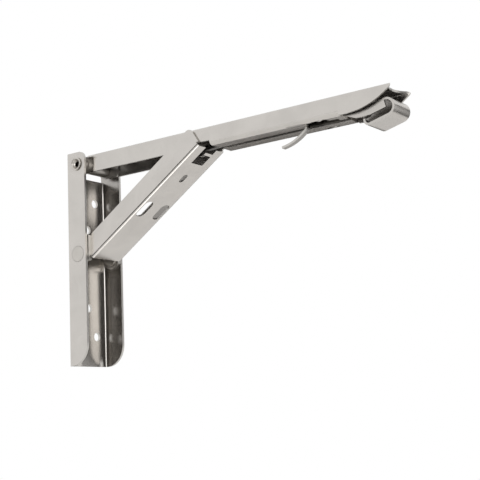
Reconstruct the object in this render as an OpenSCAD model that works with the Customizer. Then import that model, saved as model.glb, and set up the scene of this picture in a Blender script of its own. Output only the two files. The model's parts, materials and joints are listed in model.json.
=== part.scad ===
// Folding shelf bracket in stainless sheet. A wall leaf, a support arm and a strut nest in each other
// when folded, and a sprung release lever lies in the arm.
// X points out from the wall, Y runs across the bracket and Z points up. The origin is the middle of
// the four corner wall screws, on the wall's face. The bracket is drawn open, with its arm level.

/* [Wall leaf] */
// Height of the wall leaf
leaf_h = 160; // [150:1:190]
// Width of the wall leaf over its flanges
leaf_w = 40; // [38:0.5:46]
// Depth of the wall leaf's flanges, from the wall
leaf_d = 19; // [18:0.5:24]
// Sheet thickness of the wall leaf
leaf_t = 2; // [1.5:0.1:2]
// Outer bend radius of the wall leaf
leaf_bend = 3; // [2.5:0.1:4]
// How far the ears that carry the arm stand above the web
ear_rise = 16.5; // [14:0.5:18]
// Corner radius at the front of each ear
ear_round = 5.5; // [3:0.5:6]
// Radius of each flange's large lower front corner
foot_round = 16; // [8:1:17]

/* [Wall screws] */
// Diameter of the wall screw holes
screw_d = 6.5; // [4:0.1:7]
// Distance between the two screws of a pair, across the leaf
screw_span = 17; // [14:0.5:20]
// Distance between the upper and the lower pair of screws
screw_rise = 103; // [96:1:110]
// Distance between the two single screws on the middle line
middle_rise = 60; // [50:1:66]
// Height of the lower pair above the leaf's foot
screw_foot = 22.5; // [20:0.5:24]

/* [Pivots] */
// Distance of both pivots from the wall
pivot_x = 11; // [11:0.1:12]
// Distance of the arm's pivot below the top of the ears
ear_drop = 9; // [8:0.5:10]
// Distance between the arm's pivot and the strut's pivot
pivot_gap = 68.5; // [64:0.5:74]
// Running clearance of a pin in its hole, on the radius
pin_gap = 0.05; // [0.03:0.01:0.1]
// Diameter of the arm's tubular hinge pin
pin_d = 7; // [6:0.1:8]
// Diameter of the hole down the hinge pin
pin_bore = 4.4; // [3:0.1:5]
// Diameter of the hinge pin's rolled heads
pin_head_d = 10; // [9:0.5:11]
// Thickness of the hinge pin's rolled heads
pin_head_t = 1.3; // [1:0.1:2]
// Diameter of the strut rivets' shanks
rivet_d = 8; // [7:0.1:9]
// Diameter of the strut rivets' flush outer heads
rivet_head_d = 12; // [11:0.5:13]
// Depth of the seat that takes a rivet's outer head
rivet_seat = 1; // [0.6:0.1:1.2]
// How far a rivet's outer head stands out of its seat
rivet_proud = 0.2; // [0.1:0.1:0.4]
// Diameter of the strut rivets' inner heads
rivet_foot_d = 11; // [10:0.5:12]
// Thickness of the strut rivets' inner heads
rivet_foot_t = 1.2; // [0.8:0.1:1.3]
// Thickness of the washers between the strut and the wall leaf
washer_t = 0.5; // [0.4:0.1:0.6]
// Diameter of the washers between the strut and the wall leaf
washer_d = 15; // [13:0.5:16]
// Outer diameter of the spacer bushes and of the sleeve on the hinge pin
bush_d = 11; // [10:0.5:12]
// Clearance at each side face of a washer, bush or sleeve
side_gap = 0.05; // [0.03:0.01:0.1]

/* [Support arm] */
// Length of the arm from its pivot to its front tips
arm_len = 264; // [255:1:300]
// Width of the arm over its flanges
arm_w = 28; // [27:0.2:28.4]
// Sheet thickness of the arm and of the strut
arm_t = 1.5; // [1.3:0.1:1.5]
// Height of the arm's top face above its pivot
arm_top = 6.9; // [6.5:0.1:7.2]
// Depth of the arm's lips below its pivot
arm_low = 6.6; // [6.4:0.1:6.8]
// Outer bend radius along the arm's top edges
arm_bend = 2.2; // [1.8:0.1:3]
// Outer bend radius between the arm's flanges and its lips
lip_bend = 3.2; // [2.5:0.1:3.6]
// Width of the slot between the arm's two lips
lip_slot = 4.4; // [4:0.1:5]
// Distance from the arm's pivot to the start of the lips
lip_start = 122; // [121:0.5:126]
// How far the lips stop short of the arm's tips
lip_stop = 38; // [36:0.5:40]
// Depth of the concave front edge between the arm's tips
fishtail = 6; // [2:0.5:8]
// Length of the rounded lower front corner of the flanges
nose_len = 32; // [24:1:36]
// Radius of the pressed-in seat round the arm's pivot
seat_r = 12.4; // [11:0.1:13]
// Distance from the arm's pivot to the rear edge of its top face
arm_rear = 5.4; // [5:0.1:7]
// Diameter of the shelf screw holes in the arm
shelf_d = 6.5; // [4:0.1:6.5]
// Distance from the arm's pivot to its first shelf screw
shelf_start = 28; // [24:1:36]
// Distance between neighbouring shelf screws at the rear of the arm
shelf_pitch = 30; // [26:1:32]
// Distance from the arm's tips back to the front shelf screw
shelf_front = 26; // [22:0.5:28]

/* [Strut] */
// Angle of the open strut above the level
strut_angle = 33; // [31:0.5:35]
// Side clearance between the arm and the strut that straddles it
strut_side = 0.15; // [0.1:0.05:0.3]
// Distance from the strut's pivot to the outer face of its web
strut_low = 8.8; // [8.7:0.05:9]
// Height of the strut's flanges above its pivot line
strut_up = 6.7; // [5:0.1:6.8]
// Outer bend radius of the strut
strut_bend = 2.4; // [2:0.1:3]
// Distance along the strut from its pivot to the lower end of its web
strut_foot = 6.5; // [5.5:0.1:7]
// Radius of the strut's lower ears
strut_ear_r = 8.4; // [7.5:0.1:8.6]
// How far the strut's web reaches past its catch finger
web_past = 5.6; // [4:0.1:5.6]
// How far the strut's flanges reach past its web
cheek_past = 2; // [1:0.1:3]
// Width of the window at the top of the strut
window_w = 12.4; // [12:0.1:14]
// Length of the window behind the catch finger
window_len = 10.4; // [9:0.1:13]
// Width of the catch finger along the strut
finger_w = 2.4; // [2:0.1:2.6]
// Distance from the strut's pivot to the middle of its two big slots
slot_at = 62.5; // [56:0.5:70]
// Length of the two big slots
slot_len = 16; // [12:0.5:20]
// Width of the two big slots
slot_w = 8; // [6:0.5:8.4]
// Distance between the middle lines of the two big slots
slot_span = 18; // [17:0.5:18.5]
// Distance from the window to the middle of the small slot
eyelet_back = 15.2; // [12:0.2:20]
// Length of the small slot
eyelet_len = 8; // [5:0.5:9]
// Width of the small slot
eyelet_w = 4.4; // [2:0.2:4.8]

/* [Fold] */
// Angle through which the arm folds down
fold_angle = 87.5; // [80:0.5:88]

/* [Slide] */
// Width of the slide's foot on the lips
slide_w = 14; // [12:0.5:15]
// Length of the slide's foot
slide_len = 16; // [12:0.5:17]
// Thickness of the slide's foot
slide_t = 2.4; // [2:0.1:2.6]
// Distance from the strut's catch finger to the slide's foot
slide_lead = 14.6; // [14.4:0.1:16]
// Width of the slide's stem in the slot
stem_w = 3.4; // [3:0.1:3.6]
// Thickness of the hook's wall behind the catch finger
hook_t = 3; // [2:0.1:3.5]
// Clearance of the hook round the catch finger
hook_gap = 0.2; // [0.15:0.05:0.4]
// Clearance between the slide and the lips it runs on
slide_gap = 0.1; // [0.05:0.05:0.2]

/* [Release lever] */
// Sheet thickness of the lever
lever_t = 1.5; // [1.2:0.1:1.6]
// Width of the lever
lever_w = 21; // [19:0.5:22]
// Distance from the arm's tips back to the middle of the lever's rocker ears
rocker_back = 55.5; // [55:0.5:58]
// Depth of the rocker's centre below the arm's pivot
rocker_low = 1.6; // [1.4:0.1:1.8]
// Distance from the arm's pivot to the lever's inner end
lever_start = 143; // [142:0.5:148]
// Upward tilt of the lever's finger loop
loop_tilt = 14; // [10:0.5:16]
// Length of the loop's upper run
loop_run = 21.6; // [18:0.1:24]
// Length of the loop's lower run
loop_floor = 13.6; // [12:0.1:18]
// Middle radius of the loop's front curl
loop_r = 5.4; // [4:0.1:5.6]
// Middle radius of the curl that closes the loop behind
tail_r = 3; // [2.4:0.1:3.6]
// Angle through which the lever is pulled down
pull_angle = 4; // [2:0.5:4]
// Depth of the side walls folded down beside the loop's upper run
wing_d = 6.2; // [5:0.1:6.6]

/* [Keeper tongue] */
// Distance from the folded strut's catch finger to the bend at the tongue's root
tongue_lead = 2.9; // [0:0.1:5]
// Width of the tongue bent down and back from the near lip
tongue_w = 3.9; // [3:0.1:4]
// How far the tongue's tight bend turns it past straight down
tongue_lean = 48; // [35:1:52]
// Radius of the tongue's long curve
tongue_r = 35; // [20:0.5:40]
// Angle over which the tongue's long curve turns
tongue_sweep = 35; // [25:1:38]

/* [Hidden] */
$fn = 96;
steel_light = [0.79, 0.78, 0.77];
steel_mid = [0.7, 0.69, 0.68];
steel_dark = [0.55, 0.54, 0.53];
over = 1;
far = 400;
// Heights, from the middle of the corner screws
leaf_foot = -screw_rise / 2 - screw_foot;
leaf_head = leaf_foot + leaf_h;
web_head = leaf_head - ear_rise;
pivot_z = leaf_head - ear_drop;
rivet_z = pivot_z - pivot_gap;
// Half widths of the faces, from the middle plane
leaf_in = leaf_w / 2 - leaf_t;
arm_out = arm_w / 2;
arm_in = arm_out - arm_t;
strut_in = arm_out + strut_side;
strut_out = strut_in + arm_t;
ear_out = leaf_in - washer_t - 2 * side_gap;
ear_in = ear_out - arm_t;
seat_out = arm_in;
seat_in = seat_out - arm_t;
// Radii of pins and holes
pin_r = pin_d / 2;
pin_hole_r = pin_r + pin_gap;
rivet_r = rivet_d / 2;
rivet_hole_r = rivet_r + pin_gap;
// The strut's lower ears step in just past the leaf's flanges
step_gap = 0.5;
// The catch finger: its middle lies in the strut's web, at finger_at along the strut
finger_low = strut_low - arm_t / 2;
finger_at = (pivot_gap - finger_low + finger_low * cos(strut_angle)) / sin(strut_angle);
finger_x = finger_at * cos(strut_angle) + finger_low * sin(strut_angle);
finger_reach = norm([finger_at, finger_low]);
web_end = finger_at + web_past;
cheek_end = web_end + cheek_past;
// Where the finger lies along the folded arm: the strut keeps its reach and its depth below the arm
fold_drop = pivot_gap * cos(fold_angle);
fold_x = pivot_gap * sin(fold_angle) + sqrt(pow(finger_reach, 2) - pow(finger_low - fold_drop, 2));
// The arm's own lengths
lip_end = arm_len - lip_stop;
lip_face = arm_low - arm_t;
roof = arm_top - arm_t;
nose_drop = roof + arm_low;
nose_r = (pow(nose_len, 2) + pow(nose_drop, 2)) / (2 * nose_drop);
tip_land = 0.4;
tip_out = arm_out - tip_land;
tail_arc_r = (pow(tip_out, 2) + pow(fishtail, 2)) / (2 * fishtail);
ear_notch_lead = 2.9;
ear_notch = finger_x + ear_notch_lead;
ear_notch_run = 5;
ear_notch_low = 3.2;
// The slide, measured along the open arm from its pivot
slide_start = finger_x + slide_lead;
slide_low = lip_face - slide_gap;
slide_high = slide_low - slide_t;
hook_r = norm([finger_w, arm_t]) / 2 + hook_gap;
// The lever's middle line, along the arm and below its pivot
rocker_at = arm_len - rocker_back;
nose_gap = 0.6;
nose_low = slide_high - lever_t / 2 - nose_gap;
lever_rise = 2.5;
rise_low = nose_low - lever_rise;
ramp_back = 11.5;
ramp_x = rocker_at + ramp_back;
ramp_len = 16;
loop_x = ramp_x + ramp_len;
loop_drop = 0.4;
loop_low = arm_low + loop_drop;
rocker_r = arm_low - rocker_low;
rocker_notch = 5.2;
ear_y = lever_w / 2 - lever_t;
// The side walls start clear of the lips, also when the lever is pulled
wing_gap = 0.7;
wing_low = arm_low + 3.3;
// Length over which the side walls deepen from the lips' level
wing_ease = 9;
wing_x = lip_end + wing_gap + (wing_low - rocker_low) * sin(pull_angle);
wing_down = wing_d - lever_t / 2;
access_r = 3.8;
// The keeper tongue was cut from the near lip in front of its root
tongue_at = fold_x + tongue_lead;
tongue_out = lip_slot / 2 + tongue_w;
tongue_cut = 26;
slit_gap = 0.4;
notch_lead = 4;
// The leaf spring on the lever
spring_t = 0.6;
spring_w = 9;
spring_back = 36.5;
spring_x = rocker_at - spring_back;
spring_half = 14;
spring_rivet_back = 18.5;
spring_rivet_x = rocker_at - spring_rivet_back;
spring_foot = 5;
spring_rivet_r = 1.6;
spring_head_r = 2.6;
spring_head_t = 0.8;

// Lays a drawing of length and height into the upright middle plane and gives it a width
module upright(width) {
    rotate([90, 0, 0])
        linear_extrude(height = width, center = true)
            children();
}

// The same, but from one distance to another on the side that sign names
module cheek(sign, from, to) {
    translate([0, sign * (from + to) / 2, 0])
        upright(to - from)
            children();
}

// A round pin across the bracket, from one distance to another from the middle plane
module cross_pin(radius, from, to) {
    translate([0, (from + to) / 2, 0])
        rotate([90, 0, 0])
            cylinder(r = radius, h = to - from, center = true);
}

// A rectangle given by its corners
module span(x0, y0, x1, y1) {
    translate([x0, y0])
        square([x1 - x0, y1 - y0]);
}

// An upright rectangle with two rounded corners at its left edge
module round_back(width, depth, radius) {
    span(radius, -width / 2, depth, width / 2);
    span(0, radius - width / 2, depth, width / 2 - radius);
    for (side = [-1, 1])
        translate([radius, side * (width / 2 - radius)])
            circle(r = radius);
}

// Section of a bent channel, with its web along the left edge
module channel_section(width, depth, thickness, bend) {
    difference() {
        round_back(width, depth, bend);
        translate([thickness, 0])
            round_back(width - 2 * thickness, depth, bend - thickness);
    }
}

// What a rounded corner takes away, with the corner at the origin and the body up and to the right
module corner_waste(radius) {
    difference() {
        span(-over, -over, radius, radius);
        translate([radius, radius])
            circle(r = radius);
    }
}

// A slot with round ends, along X
module obround(length, width) {
    square([length - width, width], center = true);
    for (side = [-1, 1])
        translate([side * (length - width) / 2, 0])
            circle(r = width / 2);
}

// Angle of the line from one point to another
function heading(a, b) = atan2(b[1] - a[1], b[0] - a[0]);

// A point of a strip's edge, beside its middle line's point i, with mitred corners
function edge_point(line, i, offset) =
    let (last = len(line) - 1)
    let (before = i > 0 ? heading(line[i - 1], line[i]) : heading(line[i], line[i + 1]))
    let (after = i < last ? heading(line[i], line[i + 1]) : before)
    let (middle = (before + after) / 2)
        line[i] + offset / cos((after - before) / 2) * [-sin(middle), cos(middle)];

// A sheet strip seen from the side, along a middle line of straight pieces
module strip(line, thickness) {
    last = len(line) - 1;
    polygon(concat(
        [for (i = [0:last]) edge_point(line, i, thickness / 2)],
        [for (i = [0:last]) edge_point(line, last - i, -thickness / 2)]
    ));
}

// A thin tab inside a sheet, where a straight piece meets a curl
module tab(at, direction, thickness) {
    strip([at - 0.4 * direction, at + 0.4 * direction], thickness / 2);
}

// A bent strip seen from the side: part of a ring round a centre, from one angle to another
module curl(centre, radius, thickness, from, to) {
    steps = 4;
    reach = 2 * radius + thickness;
    translate(centre)
        intersection() {
            difference() {
                circle(r = radius + thickness / 2);
                circle(r = radius - thickness / 2);
            }
            polygon(concat([[0, 0]], [
                for (i = [0:steps])
                    let (angle = from + (to - from) * i / steps)
                        [reach * cos(angle), reach * sin(angle)]
            ]));
        }
}

// A point of the arm, given along it and below its pivot, in the upright plane
function on_arm(along, low) = [pivot_x + along, pivot_z - low];

// A point beside the loop's tilted upper run, given along it and below its middle line
function on_run(along, down) =
    on_arm(loop_x, loop_low) + along * [cos(loop_tilt), sin(loop_tilt)]
        + down * [sin(loop_tilt), -cos(loop_tilt)];

// Holes for the wall screws
module wall_screw_holes() {
    for (side = [-1, 1], level = [-1, 1])
        translate([0, side * screw_span / 2, level * screw_rise / 2])
            rotate([0, 90, 0])
                cylinder(d = screw_d, h = 3 * leaf_d, center = false);
    for (level = [-1, 1])
        translate([0, 0, level * middle_rise / 2])
            rotate([0, 90, 0])
                cylinder(d = screw_d, h = 3 * leaf_d, center = false);
}

// The wall leaf: a channel with its web on the wall and two ears above the web
module wall_leaf() {
    color(steel_light)
        difference() {
            translate([0, 0, leaf_foot])
                linear_extrude(height = leaf_h)
                    channel_section(leaf_w, leaf_d, leaf_t, leaf_bend);
            translate([-over, -leaf_in, web_head])
                cube([leaf_d + 2 * over, 2 * leaf_in, leaf_h]);
            upright(2 * leaf_w) {
                translate([leaf_d, leaf_head])
                    rotate(180)
                        corner_waste(ear_round);
                translate([leaf_d, leaf_foot])
                    rotate(90)
                        corner_waste(foot_round);
            }
            translate([-over, 0, 0])
                wall_screw_holes();
            translate([pivot_x, 0, pivot_z])
                cross_pin(pin_r, -leaf_w, leaf_w);
            translate([pivot_x, 0, rivet_z]) {
                cross_pin(rivet_r, -leaf_w, leaf_w);
                for (side = [-1, 1])
                    translate([0, side * leaf_w / 2, 0])
                        cross_pin(rivet_head_d / 2, -rivet_seat, rivet_seat);
            }
        }
}

// The tubular hinge pin, with a rolled head at each end
module hinge_pin() {
    reach = leaf_w / 2;
    head_r = pin_head_d / 2;
    roll_r = pin_head_t / 2;
    color(steel_mid)
        translate([pivot_x, 0, pivot_z])
            rotate([90, 0, 0])
                rotate_extrude() {
                    span(pin_bore / 2, -reach, pin_r, reach);
                    for (side = [0, 1])
                        mirror([0, side])
                            translate([0, reach]) {
                                span(pin_bore / 2 + roll_r, 0, head_r - roll_r, pin_head_t);
                                span(pin_bore / 2, 0, head_r, roll_r);
                                for (rim = [pin_bore / 2 + roll_r, head_r - roll_r])
                                    translate([rim, roll_r])
                                        circle(r = roll_r, $fn = 48);
                            }
                }
}

// A ring on the hinge pin, from one distance to another from the middle plane
module ring_on_pin(from, to) {
    translate([pivot_x, 0, pivot_z])
        difference() {
            cross_pin(bush_d / 2, from, to);
            cross_pin(pin_hole_r, from - over, to + over);
        }
}

module hinge_bush_left() {
    color(steel_dark)
        ring_on_pin(seat_out + side_gap, leaf_in - side_gap);
}

module hinge_bush_right() {
    color(steel_dark)
        ring_on_pin(side_gap - leaf_in, -seat_out - side_gap);
}

module hinge_sleeve() {
    color(steel_dark)
        ring_on_pin(side_gap - seat_in, seat_in - side_gap);
}

// A short rivet that carries one ear of the strut, flush outside and with a flat head inside
module strut_rivet(sign) {
    outer = leaf_w / 2;
    inner = ear_in - side_gap;
    color(steel_light)
        translate([pivot_x, 0, rivet_z])
            rotate([90 * sign, 0, 0])
                mirror([0, 0, 1]) {
                    translate([0, 0, inner - rivet_foot_t])
                        cylinder(d = rivet_foot_d, h = rivet_foot_t);
                    translate([0, 0, inner - over / 2])
                        cylinder(r = rivet_r, h = outer - inner);
                    translate([0, 0, outer - rivet_seat])
                        cylinder(d = rivet_head_d, h = rivet_seat + rivet_proud);
                }
}

module strut_rivet_left() {
    strut_rivet(1);
}

module strut_rivet_right() {
    strut_rivet(-1);
}

// A thin washer between the strut's ear and the wall leaf
module strut_washer(sign) {
    from = ear_out + side_gap;
    color(steel_dark)
        translate([pivot_x, 0, rivet_z])
            rotate([90 * sign, 0, 0])
                mirror([0, 0, 1])
                    translate([0, 0, from])
                        difference() {
                            cylinder(d = washer_d, h = washer_t);
                            translate([0, 0, -over])
                                cylinder(r = rivet_hole_r, h = washer_t + 2 * over);
                        }
}

module strut_washer_left() {
    strut_washer(1);
}

module strut_washer_right() {
    strut_washer(-1);
}

// Section of the arm, drawn across it: a roof, two flanges and, with lips, two inward lips
module arm_section(lips) {
    depth = arm_top + arm_low;
    low_bend = lips ? lip_bend : 0;
    difference() {
        arm_outline(arm_w, arm_top, arm_low, arm_bend, low_bend);
        arm_outline(arm_w - 2 * arm_t, roof, lips ? lip_face : depth, arm_bend - arm_t,
            max(low_bend - arm_t, 0));
        if (lips)
            span(-lip_slot / 2, -depth, lip_slot / 2, -rocker_low);
    }
}

// A rectangle about the pivot line, with one radius at its upper corners and one at its lower ones
module arm_outline(width, up, low, top_r, low_r) {
    half = width / 2;
    span(-half, low_r - low, half, up - top_r);
    span(top_r - half, 0, half - top_r, up);
    span(low_r - half, -low, half - low_r, 0);
    for (side = [-1, 1]) {
        translate([side * (half - top_r), up - top_r])
            circle(r = top_r, $fn = 48);
        if (low_r > 0)
            translate([side * (half - low_r), low_r - low])
                circle(r = low_r, $fn = 48);
    }
}

// A stretch of the arm's section, from one distance to another along it
module arm_stretch(from, to, lips) {
    translate([pivot_x + from, 0, pivot_z])
        rotate([90, 0, 90])
            linear_extrude(height = to - from)
                arm_section(lips);
}

// Side view of the arm's pressed-in seat: a round ear that runs out inside the flange, up to top
module seat_outline(radius, top) {
    intersection() {
        translate(on_arm(0, 0))
            circle(r = radius);
        union() {
            translate(on_arm(0, 0))
                circle(r = arm_low);
            translate(on_arm(0, arm_low))
                square([far, arm_low + top]);
        }
    }
}

// What the pressed-in seat takes from the flange's outer face, below the bend of the roof
module seat_waste() {
    intersection() {
        translate(on_arm(0, 0))
            circle(r = seat_r);
        translate(on_arm(-seat_r, 2 * seat_r))
            square([3 * seat_r, 2 * seat_r + arm_top - arm_bend]);
    }
}

// The notches in the arm's lower edges that take the ends of the open strut's web
module strut_notches() {
    upright(2 * arm_w)
        polygon([
            on_arm(ear_notch - ear_notch_run, arm_low + over), on_arm(ear_notch, ear_notch_low),
            on_arm(lip_start, ear_notch_low), on_arm(lip_start, arm_low + over)
        ]);
}

// The keeper tongue seen from the side: it turns down and back from the lip, then curves under it
module tongue_outline() {
    // Middle radius of the tight bend
    bend_r = 1.6;
    outward = [cos(tongue_lean), -sin(tongue_lean)];
    along = [-sin(tongue_lean), -cos(tongue_lean)];
    root = on_arm(tongue_at, arm_low - arm_t / 2);
    bend = root - [0, bend_r];
    strip([root - [over, 0], root], arm_t);
    curl(bend, bend_r, arm_t, -tongue_lean, 90);
    curl(bend + (bend_r - tongue_r) * outward, tongue_r, arm_t, -tongue_lean - tongue_sweep,
        -tongue_lean);
    tab(root, [1, 0], arm_t);
    tab(bend + bend_r * outward, along, arm_t);
}

// The support arm: one folded sheet, open below at the rear and closed to a slot by its lips in front
module support_arm() {
    color(steel_light) {
        difference() {
            union() {
                arm_stretch(arm_rear, lip_start, false);
                arm_stretch(lip_start - over, lip_end, true);
                arm_stretch(lip_end, arm_len, false);
            }
            // The flanges end at the pressed-in seats
            for (side = [-1, 1])
                cheek(side, arm_in, arm_out + over)
                    seat_waste();
            strut_notches();
            nose_waste();
            fishtail_waste();
            rocker_notches();
            tongue_slit();
            shelf_holes();
        }
        // The pressed-in seats and the ears round the pivot
        for (side = [-1, 1])
            difference() {
                union() {
                    cheek(side, seat_in, seat_out)
                        seat_outline(seat_r + arm_t, (arm_top + roof) / 2);
                    cheek(side, seat_in, arm_out - 0.3)
                        difference() {
                            seat_outline(seat_r + arm_t, arm_top - arm_bend);
                            translate(on_arm(0, 0))
                                circle(r = seat_r);
                        }
                }
                translate([pivot_x, 0, pivot_z])
                    cross_pin(pin_hole_r, -leaf_w, leaf_w);
            }
        cheek(-1, lip_slot / 2, tongue_out)
            tongue_outline();
    }
}

// The convex front edge of the flanges
module nose_waste() {
    upright(2 * arm_w)
        difference() {
            translate(on_arm(arm_len - nose_len, arm_low + over))
                square([nose_len + over, nose_drop + over]);
            translate(on_arm(arm_len - nose_len, arm_low - nose_r))
                circle(r = nose_r, $fn = 180);
        }
}

// The concave front edge of the roof
module fishtail_waste() {
    translate([pivot_x + arm_len - fishtail + tail_arc_r, 0, pivot_z + rocker_low])
        cylinder(r = tail_arc_r, h = arm_top);
}

// Openings in both lips for the lever's rocker ears
module rocker_notches() {
    for (side = [-1, 1])
        translate([pivot_x + rocker_at - rocker_notch, side * (ear_y + lever_t / 2) - lever_t,
                pivot_z - arm_low - over])
            cube([2 * rocker_notch, 2 * lever_t, arm_t + 2 * over]);
}

// The opening in the near lip from which the keeper tongue was bent, and the wider notch beside it
module tongue_slit() {
    notch_x = tongue_at + notch_lead;
    translate([pivot_x + tongue_at, -tongue_out - slit_gap, pivot_z - arm_low - over])
        cube([tongue_cut, tongue_out + slit_gap, arm_t + 1.5 * over]);
    translate([pivot_x + notch_x, -ear_y - lever_t, pivot_z - arm_low - over])
        cube([rocker_at + rocker_notch + over - notch_x, ear_y + lever_t, arm_t + 1.5 * over]);
}

// Holes in the arm's roof for the shelf screws, the last of them near the arm's tips
module shelf_holes() {
    for (along = [for (i = [0:2]) shelf_start + i * shelf_pitch, arm_len - shelf_front])
        translate([pivot_x + along, 0, pivot_z])
            cylinder(d = shelf_d, h = 2 * arm_top);
}

// Turns a drawing made along the strut, with its pivot at the origin, into its open place
module open_strut() {
    translate([pivot_x, 0, rivet_z])
        rotate([0, -strut_angle, 0])
            children();
}

// Side view of one flange of the strut, along it and above its pivot line
module strut_cheek() {
    end_round = 4;
    difference() {
        union() {
            circle(r = strut_ear_r);
            polygon([
                [0, strut_up], [0, -strut_ear_r], [strut_foot, -strut_low],
                [cheek_end, -strut_low], [cheek_end, strut_up]
            ]);
        }
        translate([cheek_end, strut_up])
            rotate(180)
                corner_waste(end_round);
    }
}

// The half of the strut's side view that lies nearer the wall than a distance from the pivot
module wall_side(distance) {
    intersection() {
        strut_cheek();
        rotate(-strut_angle)
            translate([distance - far, -far / 2])
                square([far, far]);
    }
}

// The strut: one folded sheet whose lower ears step out to the wall leaf's flanges
module strut() {
    step_x = leaf_d - pivot_x + step_gap;
    color(steel_light)
        open_strut()
            difference() {
                union() {
                    difference() {
                        translate([strut_foot, 0, 0])
                            rotate([0, 90, 0])
                                linear_extrude(height = cheek_end - strut_foot)
                                    mirror([1, 0])
                                        translate([-strut_low, 0])
                                            channel_section(2 * strut_out, strut_low + strut_up,
                                                arm_t, strut_bend);
                        upright(3 * strut_out)
                            difference() {
                                square(2 * far, center = true);
                                strut_cheek();
                            }
                        for (side = [-1, 1])
                            cheek(side, strut_out - strut_bend, strut_out + over)
                                difference() {
                                    wall_side(step_x);
                                    translate([strut_foot, -2 * strut_low])
                                        square([far, 2 * strut_low - strut_low + strut_bend]);
                                }
                        web_cuts();
                    }
                    for (side = [-1, 1]) {
                        cheek(side, ear_in, ear_out)
                            wall_side(step_x);
                        cheek(side, strut_in, ear_out)
                            difference() {
                                wall_side(step_x);
                                wall_side(step_x - arm_t);
                            }
                    }
                }
                cross_pin(rivet_hole_r, -leaf_w, leaf_w);
            }
}

// The window with its catch finger, the eyelet and the two big slots in the strut's web
module web_cuts() {
    window_start = finger_at - window_len;
    translate([0, 0, -strut_low - over])
        linear_extrude(height = arm_t + 2 * over) {
            difference() {
                span(window_start, -window_w / 2, cheek_end + over, window_w / 2);
                span(finger_at - finger_w / 2, -stem_w / 2, finger_at + finger_w / 2, window_w);
            }
            span(web_end, -far, cheek_end + over, far);
            translate([window_start - eyelet_back, 0])
                obround(eyelet_len, eyelet_w);
            for (side = [-1, 1])
                translate([slot_at, side * slot_span / 2])
                    obround(slot_len, slot_w);
        }
}

// The slide: a foot that runs on the arm's lips, with a stem in the slot and a hook over the finger
module strut_slide() {
    hook_at = on_arm(finger_x, finger_low);
    back = finger_x - hook_r - hook_t;
    hook_foot = finger_low + arm_t;
    color(steel_mid) {
        translate([pivot_x + slide_start, -slide_w / 2, pivot_z - slide_low])
            cube([slide_len, slide_w, slide_t]);
        upright(stem_w)
            difference() {
                polygon([
                    on_arm(back, hook_foot), on_arm(back, lip_face), on_arm(back + hook_t, slide_high),
                    on_arm(slide_start + slide_len / 2, slide_high),
                    on_arm(slide_start + slide_len / 2, slide_low),
                    on_arm(finger_x, finger_low - hook_r), on_arm(finger_x, hook_foot)
                ]);
                translate(hook_at)
                    circle(r = hook_r, $fn = 48);
                translate(hook_at - [hook_r, far])
                    square([far, far]);
            }
    }
}

// The lever seen from the side: strip, ramp, upper run, front curl, lower run and rear curl
module lever_outline() {
    // Rolling thins a curl a little; it laps into the straight piece by a small angle
    curl_t = lever_t - 0.04;
    lap = 3;
    nose = on_arm(lever_start, nose_low);
    // The nose that locks the slide is bent down from the inner end
    nose_tip = nose - [0, lever_t / 2 + 0.3];
    rise = on_arm(rocker_at, rise_low);
    ramp = on_arm(ramp_x, rise_low);
    tail_at = loop_run - loop_floor;
    strip([nose_tip, nose, rise, ramp, on_run(0, 0), on_run(loop_run, 0)], lever_t);
    curl(on_run(loop_run, loop_r), loop_r, curl_t, loop_tilt - 90 - lap, loop_tilt + 90 + lap);
    strip([on_run(loop_run, 2 * loop_r), on_run(tail_at, 2 * loop_r)], lever_t);
    curl(on_run(tail_at, 2 * loop_r - tail_r), tail_r, curl_t, loop_tilt + 150,
        loop_tilt + 270 + lap);
}

// One of the side walls folded down from the ramp and from the loop's upper run
module wing_outline() {
    // Where the wall's level lower edge turns to follow the tilted run
    turn_at = (loop_low + wing_down * cos(loop_tilt) - wing_low) / sin(loop_tilt);
    wing_top = rise_low + (loop_low - rise_low) * (wing_x - ramp_x) / ramp_len;
    polygon([
        on_arm(wing_x + wing_ease, wing_low), on_arm(wing_x, arm_low), on_arm(wing_x, wing_top),
        on_run(0, 0), on_run(loop_run, 0),
        on_run(loop_run, wing_down), on_run(turn_at, wing_down)
    ]);
}

// One of the lever's rocker ears seen from the side
module rocker_outline() {
    intersection() {
        translate(on_arm(rocker_at, rocker_low))
            circle(r = rocker_r);
        translate(on_arm(rocker_at - rocker_r, far))
            square([2 * rocker_r, far - rise_low]);
    }
}

// The release lever: one bent strip with a finger loop in front, two side walls and two rocker ears
module release_lever() {
    color(steel_mid)
        difference() {
            union() {
                upright(lever_w)
                    lever_outline();
                for (side = [-1, 1])
                    cheek(side, ear_y, lever_w / 2) {
                        rocker_outline();
                        wing_outline();
                    }
            }
            // A driver reaches the front shelf screw through this hole
            translate([pivot_x + arm_len - shelf_front, 0, pivot_z - loop_low - over])
                cylinder(r = access_r, h = loop_low);
            on_lever(spring_rivet_x)
                translate([0, 0, -lever_t])
                    cylinder(r = spring_rivet_r, h = 2 * lever_t);
        }
}

// Puts a drawing of the lever's sloping part into place: its origin is on the lever's middle line
module on_lever(along) {
    slope = atan2(nose_low - rise_low, rocker_at - lever_start);
    low = nose_low + (rise_low - nose_low) * (along - lever_start) / (rocker_at - lever_start);
    translate([pivot_x + along, 0, pivot_z - low])
        rotate([0, -slope, 0])
            children();
}

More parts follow.
